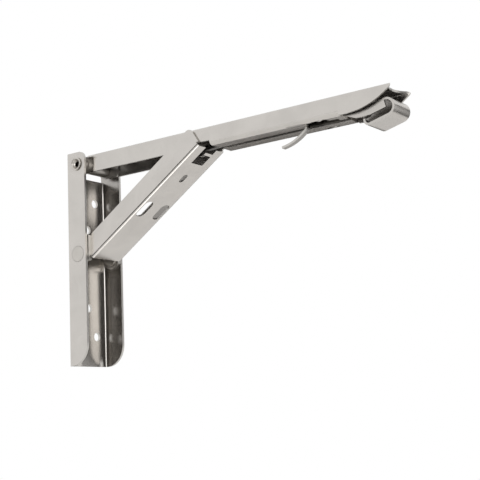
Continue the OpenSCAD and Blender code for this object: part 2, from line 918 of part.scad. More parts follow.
// The return spring: a bowed leaf between the lever and the arm's roof, with a flat end on the lever
module return_spring() {
    seat = lever_t / 2 + side_gap;
    low = (nose_low + (rise_low - nose_low) * (spring_x - lever_start) / (rocker_at - lever_start));
    crest = low + roof - side_gap;
    bow_h = crest - seat;
    bow_r = (pow(spring_half, 2) + pow(bow_h, 2)) / (2 * bow_h);
    flat_end = spring_rivet_x - spring_x + spring_foot;
    color(steel_mid)
        on_lever(spring_x)
            difference() {
                upright(spring_w) {
                    intersection() {
                        translate([0, crest - bow_r])
                            difference() {
                                circle(r = bow_r, $fn = 180);
                                circle(r = bow_r - spring_t, $fn = 180);
                            }
                        span(-far, seat, far, far);
                    }
                    span(spring_half - 1.8, seat, flat_end, seat + spring_t);
                }
                translate([spring_rivet_x - spring_x, 0, 0])
                    cylinder(r = spring_rivet_r, h = lever_t + spring_t + over);
            }
}

// The small rivet that holds the return spring on the lever
module spring_rivet() {
    under = lever_t / 2;
    upper = lever_t / 2 + side_gap + spring_t;
    color(steel_light)
        on_lever(spring_rivet_x)
            rotate_extrude() {
                span(0, -under - spring_head_t, spring_head_r, -under);
                span(0, -under - spring_head_t, spring_rivet_r, upper + spring_head_t);
                span(0, upper, spring_head_r, upper + spring_head_t);
            }
}

wall_leaf();
hinge_pin();
hinge_bush_left();
hinge_bush_right();
hinge_sleeve();
strut_rivet_left();
strut_rivet_right();
strut_washer_left();
strut_washer_right();
support_arm();
strut();
strut_slide();
release_lever();
return_spring();
spring_rivet();
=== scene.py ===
"""Looks of a folding shelf bracket: satin stainless sheet with broken edges, formed rivets, a plain studio.

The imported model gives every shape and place. Sheet pieces are dressed copies of its solids, with their
sheared edges told apart from the rolled faces and broken by a small bevel. Turned and headed pieces are
surfaces of revolution worked out with numpy.
"""

import json

import bmesh
import bpy
import numpy as np
from bpy.props import FloatProperty, FloatVectorProperty, PointerProperty
from bpy.types import Operator, Panel, PropertyGroup
from mathutils import Matrix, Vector
from mathutils.bvhtree import BVHTree


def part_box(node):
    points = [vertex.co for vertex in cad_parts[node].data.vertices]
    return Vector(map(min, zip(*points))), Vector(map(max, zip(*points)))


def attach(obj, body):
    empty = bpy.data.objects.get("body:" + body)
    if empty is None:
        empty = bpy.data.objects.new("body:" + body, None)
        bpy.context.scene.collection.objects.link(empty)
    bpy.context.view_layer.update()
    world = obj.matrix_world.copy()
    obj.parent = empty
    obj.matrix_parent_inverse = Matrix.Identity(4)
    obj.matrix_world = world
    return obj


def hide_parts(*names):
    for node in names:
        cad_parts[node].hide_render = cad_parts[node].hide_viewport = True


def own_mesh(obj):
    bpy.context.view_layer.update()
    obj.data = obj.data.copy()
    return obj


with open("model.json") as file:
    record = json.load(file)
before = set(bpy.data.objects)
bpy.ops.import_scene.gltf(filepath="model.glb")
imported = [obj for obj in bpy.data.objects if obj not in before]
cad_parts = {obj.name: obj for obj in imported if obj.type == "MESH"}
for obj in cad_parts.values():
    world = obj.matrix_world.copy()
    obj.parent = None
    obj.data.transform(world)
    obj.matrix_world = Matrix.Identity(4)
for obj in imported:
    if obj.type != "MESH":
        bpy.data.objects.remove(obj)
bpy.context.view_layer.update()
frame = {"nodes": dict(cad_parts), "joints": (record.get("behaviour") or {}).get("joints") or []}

bl_info = {
    "name": "Folding Shelf Bracket Looks",
    "version": (1, 0, 0),
    "blender": (4, 5, 0),
    "location": "View3D > Sidebar > Bracket",
    "description": "Dresses the packed folding shelf bracket and sets its studio",
    "category": "Object",
}

# One millimetre in metres
MM = 0.001


def linear(hex_colour):
    """Linear RGB of an sRGB hex colour.

    Each channel c becomes c / 12.92 up to 0.04045, and ((c + 0.055) / 1.055) ** 2.4 above it.
    """
    c = np.array([int(hex_colour[i:i + 2], 16) for i in (0, 2, 4)]) / 255
    return tuple(np.where(c <= 0.04045, c / 12.92, ((c + 0.055) / 1.055) ** 2.4).tolist())


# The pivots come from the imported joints
PIVOTS = {joint["name"]: np.array(joint.get("pos_m", (0, 0, 0)), float) for joint in frame["joints"]}
ARM_PIVOT = PIVOTS["arm_fold"]
STRUT_PIVOT = PIVOTS["strut_swing"]
# Angle of the open strut above the level
STRUT_SLOPE = np.radians(33)

# Points that lie nearer than this are one point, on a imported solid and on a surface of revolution
SOLID_GAP = 2e-6
REVOLVED_GAP = 1e-7
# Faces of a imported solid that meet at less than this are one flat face
FLAT_LIMIT = np.radians(0.6)
# Faces that meet at less than this belong to one smooth surface
SMOOTH_LIMIT = np.radians(28)
# Edges sharper than this are broken by the bevel, and shaded sharp on a surface of revolution
BREAK_LIMIT = np.radians(38)
# Reach within which a face on the inside of a fold meets its own sheet, and the share of a region that must
INSIDE_REACH = 60 * MM
INSIDE_SHARE = 1 / 3

# Distance of the wall leaf flanges' inner faces from the middle plane, and how near to it |y| counts as it
LEAF_INNER_Y = 18 * MM
LEAF_FACE_SLACK = 0.3 * MM
# The wall leaf sprang back after folding, which shows in its reflections only. The flanges lean outwards.
# The web rises softly into them, from ROOT_RUN to ROOT_STOP short of their inner faces, and it bows from
# BOW_FROM up to BOW_TO, towards the ears. WEB_STOP short of those faces it counts as web no more
FLANGE_LEAN = np.radians(6)
ROOT_RISE = np.radians(18)
ROOT_RUN = 11 * MM
ROOT_STOP = 0.5 * MM
WEB_STOP = 0.35 * MM
TOP_BOW = np.radians(4)
BOW_FROM = 34 * MM
BOW_TO = 64 * MM
# Painted shade: the wall leaf flanges' inner faces lose this share of their brightness
FLANGE_SCOUR = 0.28

# The hinge pin's rolled head: its thickness, the chamfer at its mouth, how far below the ear's face the
# chamfer and the crown start, and the crown's height
PIN_HEAD_T = 1.3 * MM
PIN_MOUTH = 0.8 * MM
PIN_MOUTH_DEPTH = 0.95 * MM
PIN_CROWN_DEPTH = 0.5 * MM
PIN_CROWN = 1.8 * MM
# Radii of the hinge pin's bore and shank, and of the holes that run on the pin and on the rivets
PIN_BORE_R = 2.2 * MM
PIN_SHANK_R = 3.5 * MM
PIN_HOLE_R = 3.55 * MM
RIVET_HOLE_R = 4.05 * MM
# The strut rivets' shank and flat inner head, the thickness and crown of the outer head, and their easing
RIVET_SHANK_R = 4 * MM
RIVET_FOOT_R = 5.5 * MM
RIVET_FOOT_T = 1.2 * MM
RIVET_HEAD_T = 1.2 * MM
RIVET_CROWN = 0.05 * MM
RIVET_EASE = 0.22 * MM

# Middle of the bracket, which lamps and cards face
MIDDLE = np.array((120, 0, 20)) * MM
# Name, azimuth and height in degrees, distance, width and height in metres, and colour of each felt card,
# from black to grey
CARDS = (
    ("dark_card_front", -67, -4, 1.3, 0.4, 1.4, "1c1a18"),
    ("dark_card_low", -95, -34, 1.2, 0.5, 0.5, "1c1a18"),
    ("dark_card_right", -1, 8, 1.4, 0.92, 1.1, "4a4744"),
    ("dark_card_back", 126, 8, 1.6, 1.5, 1.5, "8e8a86"),
    ("dark_card_side", 50, 5.4, 0.4, 0.14, 0.26, "1c1a18"),
    ("dark_card_left", -111, -27, 1.0, 0.3, 0.4, "1c1a18"),
)
# Name, azimuth and height in degrees, distance and side in metres, and radiance of each soft lamp
LAMPS = (
    ("Soft lamp right", -40, 12, 1.4, 0.68, 1.9),
    ("Soft lamp below", 0, -80, 0.6, 0.32, 1.6),
)
# Strength of the white surroundings as a light, where 1 is the white that the camera sees
AMBIENT = 0.6
# What the floor's own glow adds for the camera, so that it shows white but keeps its shadow
FLOOR_LIFT = 0.42
# Side of the square floor in metres
FLOOR_SIDE = 6
# Place of the photo camera, and its yaw, pitch and roll
CAMERA_EYE = np.array((575.10, -592.31, -119.23)) * MM
CAMERA_TURN = np.radians((35.94, 9.51, -2.38))


class BRACKET_PG_sheet(PropertyGroup):
    """Settings of the rolled stainless sheet."""

    colour: FloatVectorProperty(
        name="Sheet colour", description="Colour of the rolled stainless faces", subtype="COLOR",
        size=3, min=0, max=1, default=linear("c9c5c0"))
    edge_colour: FloatVectorProperty(
        name="Edge colour", description="Colour of the sheared edges", subtype="COLOR",
        size=3, min=0, max=1, default=linear("cac7c2"))
    roughness: FloatProperty(
        name="Sheet roughness", description="Roughness of the rolled faces", subtype="FACTOR",
        min=0.05, max=0.8, default=0.19)
    # This tone darkens the folds' inner sides as painted shade
    inner_tone: FloatProperty(
        name="Inner painted shade", description="Brightness of the folds' inner sides against the outer faces",
        subtype="FACTOR", min=0.2, max=1, default=0.6)
    edge_break: FloatProperty(
        name="Edge break", description="Width of the bevel that tumbling leaves along each edge",
        unit="LENGTH", min=0.00005, max=0.0006, default=0.00022)
    sheet_limit: FloatProperty(
        name="Sheared edge limit", description="Faces narrower than this are taken as sheared edges",
        unit="LENGTH", min=0.001, max=0.004, default=0.0023)


class BRACKET_PG_fasteners(PropertyGroup):
    """Settings of the pins, rivets, washers and bushes."""

    colour: FloatVectorProperty(
        name="Rivet colour", description="Colour of headed and turned steel", subtype="COLOR",
        size=3, min=0, max=1, default=linear("c6c2bc"))
    head_gap: FloatProperty(
        name="Head gap", description="Fine groove between a flush rivet head and its seat",
        unit="LENGTH", min=0, max=0.0003, default=0.00016)


class BRACKET_PG_stage(PropertyGroup):
    """Settings of the floor, light and camera."""

    floor_colour: FloatVectorProperty(
        name="Floor colour", description="Colour of the pale floor", subtype="COLOR",
        size=3, min=0, max=1, default=linear("f4f3f1"))
    floor_drop: FloatProperty(
        name="Floor drop", description="Distance of the floor below the wall screws' middle",
        unit="LENGTH", min=0.2, max=2, default=0.75)
    lamp_level: FloatProperty(
        name="Lamp level", description="Scales the radiance of the soft lamps", min=0, max=4, default=1)
    lens: FloatProperty(
        name="Lens", description="Focal length on a 36 mm wide sensor, in millimetres",
        unit="CAMERA", min=20, max=200, default=81.24)


def new_piece(name, vertices, faces, material):
    """An object at the origin from arrays of vertices, in metres, and of faces. Doubles are merged."""
    mesh = bpy.data.meshes.new(name)
    mesh.from_pydata(vertices.tolist(), [], faces.tolist())
    work = bmesh.new()
    work.from_mesh(mesh)
    bmesh.ops.remove_doubles(work, verts=work.verts, dist=REVOLVED_GAP)
    bmesh.ops.recalc_face_normals(work, faces=work.faces)
    work.to_mesh(mesh)
    work.free()
    mesh.shade_smooth()
    mesh.set_sharp_from_angle(angle=BREAK_LIMIT)
    mesh.materials.append(material)
    piece = bpy.data.objects.new(name, mesh)
    bpy.context.scene.collection.objects.link(piece)
    return piece


def stand_for(piece, body, node):
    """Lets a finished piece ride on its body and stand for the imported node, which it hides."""
    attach(piece, body)
    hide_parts(node)


def box_of(node):
    """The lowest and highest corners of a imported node, as arrays."""
    return tuple(np.array(corner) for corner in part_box(node))


def eased(points, radius, steps=5):
    """A closed outline with its corners eased.

    Each corner P becomes the quadratic curve (1-t)^2 A + 2t(1-t) P + t^2 B, where A and B lie at the given
    distance from P along its two sides, or at 0.45 of a side that is too short for that.
    """
    points = np.asarray(points, float)
    before = np.roll(points, 1, axis=0) - points
    after = np.roll(points, -1, axis=0) - points
    reach_b = np.minimum(radius, np.linalg.norm(before, axis=1) * 0.45)[:, None]
    reach_a = np.minimum(radius, np.linalg.norm(after, axis=1) * 0.45)[:, None]
    start = points + before / np.linalg.norm(before, axis=1)[:, None] * reach_b
    end = points + after / np.linalg.norm(after, axis=1)[:, None] * reach_a
    t = np.linspace(0, 1, steps)[None, :, None]
    curve = (1 - t) ** 2 * start[:, None] + 2 * t * (1 - t) * points[:, None] + t ** 2 * end[:, None]
    return curve.reshape(-1, 2)


def revolved(name, outline, centre, material, segments=96):
    """A surface of revolution about a line along Y through centre.

    The closed outline holds (radius, y) in metres. Point (i, j) of the grid is
    centre + (r_i cos a_j, y_i, r_i sin a_j), with a_j = 2 pi j / segments.
    """
    outline = np.asarray(outline, float)
    angle = np.linspace(0, 2 * np.pi, segments, endpoint=False)
    r, y = outline[:, :1], outline[:, 1:]
    grid = np.stack([r * np.cos(angle), y + 0 * angle, r * np.sin(angle)], axis=-1) + np.asarray(centre)
    rows, cols = grid.shape[:2]
    i, j = np.meshgrid(np.arange(rows), np.arange(cols), indexing="ij")
    down, along = (i + 1) % rows, (j + 1) % cols
    faces = np.stack([i * cols + j, down * cols + j, down * cols + along, i * cols + along], axis=-1)
    return new_piece(name, grid.reshape(-1, 3), faces.reshape(-1, 4), material)


def pin_outline(head_r, end):
    """Closed outline of the tubular hinge pin, alike on both sides of y = 0.

    The tube's wall flares out of the bore by a chamfer, rolls over and tucks in above the ear. Over the
    roll t from 0 to 1 the radius goes evenly from the mouth to the head's rim, and the height above the
    crown's start is the crown's height times sin(pi (0.03 + 0.72 t)) to the power 0.7.
    """
    face = end - PIN_HEAD_T
    roll = np.linspace(0, 1, 17)[:, None]
    mouth_r = PIN_BORE_R + PIN_MOUTH
    crown_r = mouth_r + (head_r - mouth_r) * roll
    crown_y = face - PIN_CROWN_DEPTH + PIN_CROWN * np.sin(np.pi * (0.03 + 0.72 * roll)) ** 0.7
    bore = [[PIN_BORE_R, 0.0], [PIN_BORE_R, face - PIN_MOUTH_DEPTH]]
    # The rim tucks in by these steps, in millimetres from the head's radius and from the ear's face
    tuck = np.array([[-0.1, 0.6], [-1.1, 0.1], [-1.2, 0]]) * MM + (head_r, face)
    upper = np.vstack([bore, np.hstack([crown_r, crown_y]), tuck, [[PIN_SHANK_R, face]]])
    lower = upper[::-1] * (1, -1)
    return np.vstack([upper, lower[:-1]])


def rivet_outline(inner, outer, head_r):
    """Closed outline of a strut rivet: flat inner head, shank and outer head.

    The outer head's face is flat out to 0.6 of its radius, and falls from there to its rim by the crown.
    """
    outline = eased([[0, inner], [RIVET_FOOT_R, inner], [RIVET_FOOT_R, inner + RIVET_FOOT_T],
                     [RIVET_SHANK_R, inner + RIVET_FOOT_T], [RIVET_SHANK_R, outer - RIVET_HEAD_T],
                     [head_r, outer - RIVET_HEAD_T], [head_r, outer - RIVET_CROWN],
                     [head_r * 0.6, outer], [0, outer]], RIVET_EASE)
    # The easing leaves points near the axis, which are drawn onto it so that both poles stay closed
    outline[np.abs(outline[:, 0]) < 0.3 * MM, 0] = 0
    return outline


def ring_outline(node, hole_r, ease):
    """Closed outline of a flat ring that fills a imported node's box, with its four corners eased."""
    low, high = box_of(node)
    rim_r = (high[0] - low[0]) / 2
    return eased([[hole_r, low[1]], [rim_r, low[1]], [rim_r, high[1]], [hole_r, high[1]]], ease)


def smooth_regions(mesh):
    """The smooth region that each face belongs to, as a number, and that region's mean width.

    Faces that meet at less than the smooth limit share a region. A region of area A whose sharp boundary is
    B long has the mean width 2 A / B: the sheet's thickness for a sheared edge, far more for a rolled face.
    """
    count = len(mesh.polygons)
    normals = np.empty(count * 3)
    mesh.polygons.foreach_get("normal", normals)
    normals = normals.reshape(-1, 3)
    areas = np.empty(count)
    mesh.polygons.foreach_get("area", areas)
    loops = np.empty(len(mesh.loops), int)
    mesh.loops.foreach_get("edge_index", loops)
    sizes = np.empty(count, int)
    mesh.polygons.foreach_get("loop_total", sizes)
    owner = np.repeat(np.arange(count), sizes)
    # Sorted by edge, the two faces of each edge a and b stand next to each other
    order = np.argsort(loops, kind="stable")
    edge, face = loops[order], owner[order]
    same = edge[:-1] == edge[1:]
    a, b, shared = face[:-1][same], face[1:][same], edge[:-1][same]
    smooth = np.einsum("ij,ij->i", normals[a], normals[b]) > np.cos(SMOOTH_LIMIT)
    ends = np.empty(len(mesh.edges) * 2, int)
    mesh.edges.foreach_get("vertices", ends)
    places = np.empty(len(mesh.vertices) * 3)
    mesh.vertices.foreach_get("co", places)
    places = places.reshape(-1, 3)
    ends = ends.reshape(-1, 2)
    length = np.linalg.norm(places[ends[:, 0]] - places[ends[:, 1]], axis=1)
    # Each face takes the lowest number among its smooth neighbours until nothing changes
    label = np.arange(count)
    while True:
        low = np.minimum(label[a[smooth]], label[b[smooth]])
        new = label.copy()
        np.minimum.at(new, a[smooth], low)
        np.minimum.at(new, b[smooth], low)
        new = new[new]
        if (new == label).all():
            break
        label = new
    area = np.bincount(label, areas, count)
    sharp = ~smooth
    border = np.bincount(label[a[sharp]], length[shared[sharp]], count)
    border += np.bincount(label[b[sharp]], length[shared[sharp]], count)
    return label, (2 * area / np.maximum(border, 1e-9))[label]


def inner_sides(mesh, label):
    """True for the faces on the inside of a fold.

    A face looks inwards where a line along its normal meets the same sheet again within the inside reach. A
    whole smooth region is an inner side where more than the inside share of its area looks inwards.
    """
    tree = BVHTree.FromPolygons([v.co for v in mesh.vertices], [tuple(f.vertices) for f in mesh.polygons])
    start_gap = 0.2 * MM
    inward = np.array([
        tree.ray_cast(f.center + f.normal * start_gap, f.normal, INSIDE_REACH)[0] is not None
        for f in mesh.polygons])
    areas = np.array([f.area for f in mesh.polygons])
    whole = np.maximum(np.bincount(label, areas, len(areas)), 1e-12)
    share = np.bincount(label, areas * inward, len(areas)) / whole
    return share[label] > INSIDE_SHARE


def dressed_sheet(node, body, face_material, edge_material, settings, inner_material=None):
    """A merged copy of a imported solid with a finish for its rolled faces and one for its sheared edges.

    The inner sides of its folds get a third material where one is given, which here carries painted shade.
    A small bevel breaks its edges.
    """
    mesh = frame["nodes"][node].data.copy()
    mesh.name = node + "_sheet"
    work = bmesh.new()
    work.from_mesh(mesh)
    bmesh.ops.remove_doubles(work, verts=work.verts, dist=SOLID_GAP)
    bmesh.ops.dissolve_limit(work, angle_limit=FLAT_LIMIT, verts=work.verts, edges=work.edges)
    work.to_mesh(mesh)
    work.free()
    mesh.materials.clear()
    mesh.materials.append(face_material)
    mesh.materials.append(edge_material)
    label, width = smooth_regions(mesh)
    finish = np.where(width < settings.sheet_limit, 1, 0)
    if inner_material is not None:
        mesh.materials.append(inner_material)
        finish[inner_sides(mesh, label) & (finish == 0)] = 2
    mesh.polygons.foreach_set("material_index", finish.astype(np.int32))
    mesh.shade_smooth()
    mesh.set_sharp_from_angle(angle=SMOOTH_LIMIT)
    piece = bpy.data.objects.new(node + "_dressed", mesh)
    bpy.context.scene.collection.objects.link(piece)
    bevel = piece.modifiers.new("Broken edges", "BEVEL")
    bevel.width = settings.edge_break
    bevel.segments = 2
    bevel.limit_method = "ANGLE"
    bevel.angle_limit = BREAK_LIMIT
    bevel.use_clamp_overlap = True
    bevel.harden_normals = True
    stand_for(piece, body, node)
    return piece


def add(tree, kind, settings=None, **links):
    """Adds a node.

    Settings go to its properties or its unlinked inputs by name, where #2 is the input of that number.
    Links go to its inputs by name, where i2 is a number too, from a socket or a node's first output.
    """
    node = tree.nodes.new(kind)
    for key, value in (settings or {}).items():
        if hasattr(node, key):
            setattr(node, key, value)
        else:
            node.inputs[int(key[1:]) if key[0] == "#" else key].default_value = value
    for key, source in links.items():
        index = int(key[1:]) if key[1:].isdigit() else key.replace("_", " ")
        tree.links.new(getattr(source, "outputs", [source])[0], node.inputs[index])
    return node


def steel_tree(name):
    """A material with a Principled shader of plain metal, its tree and its Object coordinates."""
    material = bpy.data.materials.new(name)
    material.use_nodes = True
    tree = material.node_tree
    tree.nodes["Principled BSDF"].inputs["Metallic"].default_value = 1
    return material, tree, add(tree, "ShaderNodeTexCoord").outputs["Object"]


def finished_steel(material, colour, roughness, normal):
    """Links the nodes of a steel's colour, roughness and normal to its shader."""
    tree = material.node_tree
    shader = tree.nodes["Principled BSDF"]
    for node, socket in ((colour, "Base Color"), (roughness, "Roughness"), (normal, "Normal")):
        tree.links.new(node.outputs[0], shader.inputs[socket])
    return material


def mottled(tree, colour, pattern, darkest, lightest):
    """The colour times a tone that goes from darkest to lightest as the pattern goes from 0.3 to 0.7."""
    tone = add(tree, "ShaderNodeMapRange", {
        "From Min": 0.3, "From Max": 0.7, "To Min": darkest, "To Max": lightest}, Value=pattern)
    return add(tree, "ShaderNodeVectorMath", {"operation": "SCALE", "#0": colour}, Scale=tone)


def pivot_distance(tree, place, pivot):
    """Distance of a point from the line along Y through a pivot: the length of (x - px, 0, z - pz)."""
    flat = add(tree, "ShaderNodeVectorMath", {
        "operation": "MULTIPLY_ADD", "#1": (1, 0, 1), "#2": (-pivot[0], 0, -pivot[2])}, i0=place)
    return add(tree, "ShaderNodeVectorMath", {"operation": "LENGTH"}, i0=flat).outputs["Value"]


def rub_rings(tree, place, pivot):
    """Rings about 0.45 mm wide that a turning joint rubs round its pivot, out to 7 mm and gone by 11 mm."""
    away = pivot_distance(tree, place, pivot)
    band = add(tree, "ShaderNodeMapRange", {
        "interpolation_type": "SMOOTHSTEP", "From Min": 11 * MM, "From Max": 7 * MM, "To Max": 1.0},
        Value=away)
    rings = add(tree, "ShaderNodeTexNoise", {
        "noise_dimensions": "1D", "Scale": 1 / (0.45 * MM), "Detail": 2}, W=away)
    return add(tree, "ShaderNodeMath", {"operation": "MULTIPLY"}, i0=band, i1=rings)


def sprung_normal(tree, place, inner_y):
    """The normal of a folded channel that sprang back, and 1 on its flanges' inner faces and 0 elsewhere.

    On the flanges' inner faces, where |y| is inner_y, the normal n becomes the unit vector of
    n + (tan lean, 0, 0). On the web it becomes that of n - (0, sign(y) tan(rise) s, tan(bow) t), where s
    goes smoothly from 0 to 1 as |y| nears inner_y, and t as z rises to the ears.
    """
    axes = add(tree, "ShaderNodeSeparateXYZ", Vector=place)
    side = axes.outputs["Y"]
    out = add(tree, "ShaderNodeMath", {"operation": "ABSOLUTE"}, i0=side)
    sign = add(tree, "ShaderNodeMath", {"operation": "SIGN"}, i0=side)
    inner = add(tree, "ShaderNodeMath", {"operation": "COMPARE", "#1": inner_y, "#2": LEAF_FACE_SLACK},
                i0=out)
    rise = add(tree, "ShaderNodeMapRange", {
        "interpolation_type": "SMOOTHSTEP", "From Min": inner_y - ROOT_RUN, "From Max": inner_y - ROOT_STOP,
        "To Max": -np.tan(ROOT_RISE)}, Value=out)
    rise = add(tree, "ShaderNodeMath", {"operation": "MULTIPLY"}, i0=rise, i1=sign)
    web = add(tree, "ShaderNodeMath", {"operation": "LESS_THAN", "#1": inner_y - WEB_STOP}, i0=out)
    rise = add(tree, "ShaderNodeMath", {"operation": "MULTIPLY"}, i0=rise, i1=web)
    bow = add(tree, "ShaderNodeMapRange", {
        "interpolation_type": "SMOOTHSTEP", "From Min": BOW_FROM, "From Max": BOW_TO,
        "To Max": -np.tan(TOP_BOW)}, Value=axes.outputs["Z"])
    bow = add(tree, "ShaderNodeMath", {"operation": "MULTIPLY"}, i0=bow, i1=web)
    lean = add(tree, "ShaderNodeMath", {"operation": "MULTIPLY", "#1": np.tan(FLANGE_LEAN)}, i0=inner)
    change = add(tree, "ShaderNodeCombineXYZ", X=lean, Y=rise, Z=bow)
    normal = add(tree, "ShaderNodeNewGeometry").outputs["Normal"]
    leant = add(tree, "ShaderNodeVectorMath", {"operation": "ADD"}, i0=normal, i1=change)
    return add(tree, "ShaderNodeVectorMath", {"operation": "NORMALIZE"}, i0=leant), inner


def rolled_stainless(name, colour, roughness, turn=(0, 0, 0), rub_centres=(), hand_marks=0.5, inner_y=None):
    """Cold-rolled, lightly polished stainless sheet.

    The mill leaves a faint grain along the sheet, about 0.2 mm across and drawn 0.35 mm across so that it
    shows, and 45 times as long. Flattening leaves a slow waviness about 38 mm long that bends reflections.
    Handling leaves soft smudges about 20 mm wide, and hairline scratches that are drawn 0.8 mm wide so that
    they show, and 50 times as long. Turning joints rub rings round their pivots.

    The turn lays the grain along the piece, hand_marks scales the smudges, and inner_y is given for the
    channel that sprang back, whose flanges' inner faces it also darkens as painted shade.
    """
    material, tree, place = steel_tree(name)
    grain_at = add(tree, "ShaderNodeMapping", {"Rotation": turn, "Scale": (0.022, 1, 1)}, Vector=place)
    grain = add(tree, "ShaderNodeTexNoise", {"Scale": 1 / (0.35 * MM), "Detail": 3, "Roughness": 0.6},
                Vector=grain_at)
    waves = add(tree, "ShaderNodeTexNoise", {"Scale": 1 / (38 * MM), "Detail": 1.5, "Roughness": 0.4},
                Vector=place)
    smudge = add(tree, "ShaderNodeTexNoise", {
        "Scale": 1 / (20 * MM), "Detail": 4, "Roughness": 0.55, "Distortion": 0.6}, Vector=place)
    # The scratches run about 30 degrees off the grain, and only the noise's highest crests are scratches
    hair_at = add(tree, "ShaderNodeMapping", {
        "Rotation": (turn[0], turn[1] + 0.5, turn[2] + 0.25), "Scale": (0.02, 1, 1)}, Vector=place)
    hair = add(tree, "ShaderNodeTexNoise", {"Scale": 1 / (0.8 * MM), "Detail": 2}, Vector=hair_at)
    scratch = add(tree, "ShaderNodeMapRange", {"From Min": 0.69, "From Max": 0.76, "To Max": 1.0},
                  Value=hair)

    # Each pattern adds to the roughness by its own amount, and grain, scratches and rings share one height
    grain_rough, smudge_rough, scratch_rough, rub_rough = 0.06, 0.12 * hand_marks, 0.05, 0.22
    scratch_height, rub_height = -0.35, 0.8
    rough = add(tree, "ShaderNodeMath", {
        "operation": "MULTIPLY_ADD", "#1": grain_rough, "#2": roughness - grain_rough}, i0=grain)
    rough = add(tree, "ShaderNodeMath", {"operation": "MULTIPLY_ADD", "#1": smudge_rough},
                i0=smudge, i2=rough)
    rough = add(tree, "ShaderNodeMath", {"operation": "MULTIPLY_ADD", "#1": scratch_rough},
                i0=scratch, i2=rough)
    height = add(tree, "ShaderNodeMath", {"operation": "MULTIPLY_ADD", "#1": scratch_height},
                 i0=scratch, i2=grain)
    rub = None
    for centre in rub_centres:
        here = rub_rings(tree, place, centre)
        rub = add(tree, "ShaderNodeMath", {"operation": "MAXIMUM"}, i0=rub, i1=here) if rub else here
    if rub:
        rough = add(tree, "ShaderNodeMath", {"operation": "MULTIPLY_ADD", "#1": rub_rough},
                    i0=rub, i2=rough)
        height = add(tree, "ShaderNodeMath", {"operation": "MULTIPLY_ADD", "#1": rub_height},
                     i0=rub, i2=height)

    shade = mottled(tree, colour, smudge, 0.93, 1.03)
    slow = add(tree, "ShaderNodeBump", {"Strength": 0.5, "Distance": 0.07 * MM}, Height=waves)
    if inner_y is not None:
        normal, inner = sprung_normal(tree, place, inner_y)
        tree.links.new(normal.outputs[0], slow.inputs["Normal"])
        # Painted shade: the flanges' inner faces are darkened by a fixed share
        dull = add(tree, "ShaderNodeMath", {"operation": "MULTIPLY_ADD", "#1": -FLANGE_SCOUR, "#2": 1.0},
                   i0=inner)
        shade = add(tree, "ShaderNodeVectorMath", {"operation": "SCALE"}, i0=shade, Scale=dull)
    fine = add(tree, "ShaderNodeBump", {"Strength": 0.1, "Distance": 0.006 * MM},
               Height=height, Normal=slow)
    return finished_steel(material, shade, rough, fine)


def sheared_edge(name, colour):
    """Sheared and tumbled sheet edge: rougher than the face, with a mottled break about 0.5 mm across."""
    material, tree, place = steel_tree(name)
    grit = add(tree, "ShaderNodeTexNoise", {"Scale": 1 / (0.5 * MM), "Detail": 3, "Roughness": 0.65},
               Vector=place)
    rough = add(tree, "ShaderNodeMapRange", {
        "From Min": 0.3, "From Max": 0.7, "To Min": 0.24, "To Max": 0.46}, Value=grit)
    shade = mottled(tree, colour, grit, 0.86, 1.04)
    bump = add(tree, "ShaderNodeBump", {"Strength": 0.35, "Distance": 0.05 * MM}, Height=grit)
    return finished_steel(material, shade, rough, bump)


def turned_steel(name, colour, roughness, centre, pitch):
    """Headed or turned stainless steel.

    The tool leaves rings about the axis, at the given pitch, and use leaves small dents about 1.6 mm wide.
    """
    material, tree, place = steel_tree(name)
    rings = add(tree, "ShaderNodeTexNoise", {"noise_dimensions": "1D", "Scale": 1 / pitch, "Detail": 3},
                W=pivot_distance(tree, place, centre))
    dents = add(tree, "ShaderNodeTexNoise", {"Scale": 1 / (1.6 * MM), "Detail": 3}, Vector=place)
    # The rings vary the roughness by this much, half of it to each side
    ring_rough = 0.22
    rough = add(tree, "ShaderNodeMath", {
        "operation": "MULTIPLY_ADD", "#1": ring_rough, "#2": roughness - ring_rough / 2}, i0=rings)
    height = add(tree, "ShaderNodeMath", {"operation": "MULTIPLY_ADD", "#1": 0.6}, i0=dents, i2=rings)
    shade = mottled(tree, colour, dents, 0.9, 1.04)
    bump = add(tree, "ShaderNodeBump", {"Strength": 0.4, "Distance": 0.04 * MM}, Height=height)
    return finished_steel(material, shade, rough, bump)


def matt_felt(name, colour):
    """Plain matt felt of a studio card."""
    material = bpy.data.materials.new(name)
    material.use_nodes = True
    shader = material.node_tree.nodes["Principled BSDF"]
    shader.inputs["Base Color"].default_value = (*colour, 1)
    shader.inputs["Roughness"].default_value = 1.0
    return material


def seen_rays(tree):
    """1 for camera, glossy and transmission rays, which meet the white surroundings, and 0 for the rest."""
    path = add(tree, "ShaderNodeLightPath").outputs
    seen = add(tree, "ShaderNodeMath", {"operation": "MAXIMUM"},
               i0=path["Is Camera Ray"], i1=path["Is Glossy Ray"])
    return add(tree, "ShaderNodeMath", {"operation": "MAXIMUM"}, i0=seen, i1=path["Is Transmission Ray"])


def white_surroundings(scene):
    """Sets a world that shows white and lights the bracket at the ambient strength."""
    world = bpy.data.worlds.new("White surroundings")
    scene.world = world
    world.use_nodes = True
    tree = world.node_tree
    level = add(tree, "ShaderNodeMapRange", {"To Min": AMBIENT, "To Max": 1.0}, Value=seen_rays(tree))
    back = tree.nodes["Background"]
    back.inputs["Color"].default_value = (1, 1, 1, 1)
    tree.links.new(level.outputs[0], back.inputs["Strength"])


